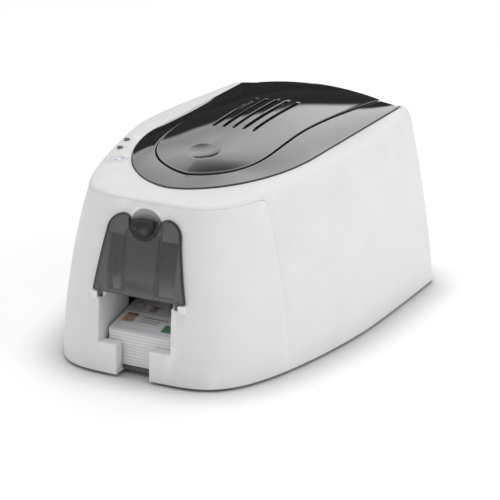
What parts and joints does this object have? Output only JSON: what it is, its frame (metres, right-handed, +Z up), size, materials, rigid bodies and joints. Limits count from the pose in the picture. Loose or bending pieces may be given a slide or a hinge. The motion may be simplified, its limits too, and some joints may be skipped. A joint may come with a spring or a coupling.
{
  "type": "id card printer",
  "caption": "Desk-top ID card printer: rounded white body, gloss lid hinged at the rear over ribbon and print head, clear feeder door, card tray in a T-shaped front opening.",
  "frame": {"origin": "on the table plane under the feet, below the line of the lid, door and rollers, halfway between front and rear; the body's own middle lies 2.5 mm to the left (-X)", "axes": "+Z up, -Y towards the front where cards go in and come out, +X to the right seen from the front, along the rollers' axes"},
  "size_m": [0.21, 0.3, 0.1566],
  "materials": {
    "shell_white": "satin moulded plastic",
    "lid_black": "high gloss",
    "door_smoke": "smoked clear plastic",
    "frame_grey": "matt",
    "tray_grey": "satin moulded plastic",
    "plate_steel": "zinc plated sheet",
    "bar_steel": "turned bar",
    "roller_rubber": "ground rubber on a steel shaft",
    "cleaner_blue": "tacky rubber",
    "gear_ivory": "moulded",
    "pinion_brass": "machined",
    "motor_black": "satin paint",
    "sink_aluminium": "extruded",
    "head_dark": "glazed",
    "card_white": "smooth card",
    "button_lilac": "satin",
    "lamp_grey": "clear cap, unlit",
    "core_white": "moulded",
    "ribbon_dark": "thin film",
    "ribbon_used": "thin film, used",
    "board_green": "solder resist",
    "chip_black": "moulded chips",
    "port_steel": "plated",
    "inlet_black": "matt",
    "foot_rubber": "soft rubber",
    "screw_steel": "zinc plated"
  },
  "bodies": {
    "chassis": {"base_pan": "shell_white", "front_bezel": "shell_white", "housing": "shell_white", "rear_panel": "shell_white", "feeder_hopper": "frame_grey", "blank_cards": "card_white", "output_tray": "tray_grey", "printed_cards": "card_white", "status_lights": "lamp_grey", "left_plate": "plate_steel", "right_plate": "plate_steel", "cross_bars": "bar_steel", "card_guide": "frame_grey", "idler_studs": "bar_steel", "motor": "motor_black", "ribbon_motor": "motor_black", "ribbon_film": "ribbon_dark", "circuit_board": "board_green", "board_parts": "chip_black", "card_sensor": "chip_black", "usb_port": "port_steel", "power_inlet": "inlet_black", "rubber_feet": "foot_rubber", "frame_screws": "screw_steel"},
    "lid": {"lid_cover": "lid_black", "lid_panel": "lid_black", "lid_frame": "frame_grey", "head_bracket": "plate_steel", "head_heatsink": "sink_aluminium", "print_head": "head_dark"},
    "feeder_door": {"feeder_door": "door_smoke"},
    "control_button": {"control_button": "button_lilac"},
    "feed": {"feed_roller": "roller_rubber", "feed_gear": "gear_ivory"},
    "front_drive": {"front_drive_roller": "roller_rubber", "front_drive_gear": "gear_ivory"},
    "platen": {"platen_roller": "roller_rubber", "platen_gear": "gear_ivory"},
    "rear_drive": {"rear_drive_roller": "roller_rubber", "rear_drive_gear": "gear_ivory"},
    "feed_idler": {"feed_idler_gear": "gear_ivory"},
    "front_idler": {"front_idler_gear": "gear_ivory"},
    "rear_idler": {"rear_idler_gear": "gear_ivory"},
    "front_pinch": {"front_pinch_roller": "roller_rubber"},
    "rear_pinch": {"rear_pinch_roller": "roller_rubber"},
    "cleaner": {"cleaning_roller": "cleaner_blue"},
    "motor_rotor": {"motor_pinion": "pinion_brass"},
    "supply_spool": {"supply_core": "core_white", "supply_roll": "ribbon_dark"},
    "takeup_spool": {"takeup_core": "core_white", "takeup_roll": "ribbon_used", "takeup_gear": "gear_ivory"},
    "ribbon_rotor": {"ribbon_pinion": "pinion_brass"}
  },
  "joints": [
    {"name": "lid_hinge", "type": "hinge", "parent": "chassis", "child": "lid", "pos_m": [0, 0.13, 0.13], "axis": [-1, 0, 0], "range_deg": [0, 92]},
    {"name": "door_hinge", "type": "hinge", "parent": "chassis", "child": "feeder_door", "pos_m": [0, -0.14811, 0.0614], "axis": [1, 0, 0], "range_deg": [0, 75]},
    {"name": "button_press", "type": "slide", "parent": "chassis", "child": "control_button", "axis": [0, 0, -1], "range_m": [0, 0.0008], "stiffness_N_per_m": 500, "springref_m": -0.0004},
    {"name": "platen_spin", "type": "hinge", "parent": "chassis", "child": "platen", "pos_m": [0, 0.035, 0.0578], "axis": [1, 0, 0], "continuous": true},
    {"name": "front_drive_spin", "type": "hinge", "parent": "chassis", "child": "front_drive", "pos_m": [0, -0.012, 0.0578], "axis": [1, 0, 0], "continuous": true},
    {"name": "rear_drive_spin", "type": "hinge", "parent": "chassis", "child": "rear_drive", "pos_m": [0, 0.082, 0.0578], "axis": [1, 0, 0], "continuous": true},
    {"name": "feed_spin", "type": "hinge", "parent": "chassis", "child": "feed", "pos_m": [0, -0.072, 0.0578], "axis": [1, 0, 0], "continuous": true},
    {"name": "front_idler_spin", "type": "hinge", "parent": "chassis", "child": "front_idler", "pos_m": [0, 0.008, 0.0578], "axis": [1, 0, 0], "continuous": true},
    {"name": "rear_idler_spin", "type": "hinge", "parent": "chassis", "child": "rear_idler", "pos_m": [0, 0.062, 0.0578], "axis": [1, 0, 0], "continuous": true},
    {"name": "feed_idler_spin", "type": "hinge", "parent": "chassis", "child": "feed_idler", "pos_m": [0, -0.042, 0.0578], "axis": [1, 0, 0], "continuous": true},
    {"name": "front_pinch_spin", "type": "hinge", "parent": "chassis", "child": "front_pinch", "pos_m": [0, -0.012, 0.07116], "axis": [1, 0, 0], "continuous": true},
    {"name": "rear_pinch_spin", "type": "hinge", "parent": "chassis", "child": "rear_pinch", "pos_m": [0, 0.082, 0.07116], "axis": [1, 0, 0], "continuous": true},
    {"name": "motor_spin", "type": "hinge", "parent": "chassis", "child": "motor_rotor", "pos_m": [0, 0.035, 0.0338], "axis": [1, 0, 0], "continuous": true},
    {"name": "cleaner_spin", "type": "hinge", "parent": "chassis", "child": "cleaner", "pos_m": [0, -0.038, 0.07216], "axis": [1, 0, 0], "continuous": true},
    {"name": "supply_spin", "type": "hinge", "parent": "chassis", "child": "supply_spool", "pos_m": [0, 0.082, 0.103], "axis": [1, 0, 0], "continuous": true},
    {"name": "takeup_spin", "type": "hinge", "parent": "chassis", "child": "takeup_spool", "pos_m": [0, -0.012, 0.103], "axis": [1, 0, 0], "continuous": true},
    {"name": "ribbon_motor_spin", "type": "hinge", "parent": "chassis", "child": "ribbon_rotor", "pos_m": [0, -0.0255, 0.08691], "axis": [1, 0, 0], "continuous": true}
  ],
  "couplings": [
    {"joint": "front_idler_spin", "follows": "platen_spin", "ratio": -2},
    {"joint": "rear_idler_spin", "follows": "platen_spin", "ratio": -2},
    {"joint": "front_drive_spin", "follows": "platen_spin", "ratio": 1.6364},
    {"joint": "rear_drive_spin", "follows": "platen_spin", "ratio": 1.6364},
    {"joint": "feed_idler_spin", "follows": "platen_spin", "ratio": -0.94737},
    {"joint": "feed_spin", "follows": "platen_spin", "ratio": 1.6364},
    {"joint": "motor_spin", "follows": "platen_spin", "ratio": -3},
    {"joint": "front_pinch_spin", "follows": "platen_spin", "ratio": -2.2909},
    {"joint": "rear_pinch_spin", "follows": "platen_spin", "ratio": -2.2909},
    {"joint": "ribbon_motor_spin", "follows": "takeup_spin", "ratio": -2.5}
  ]
}
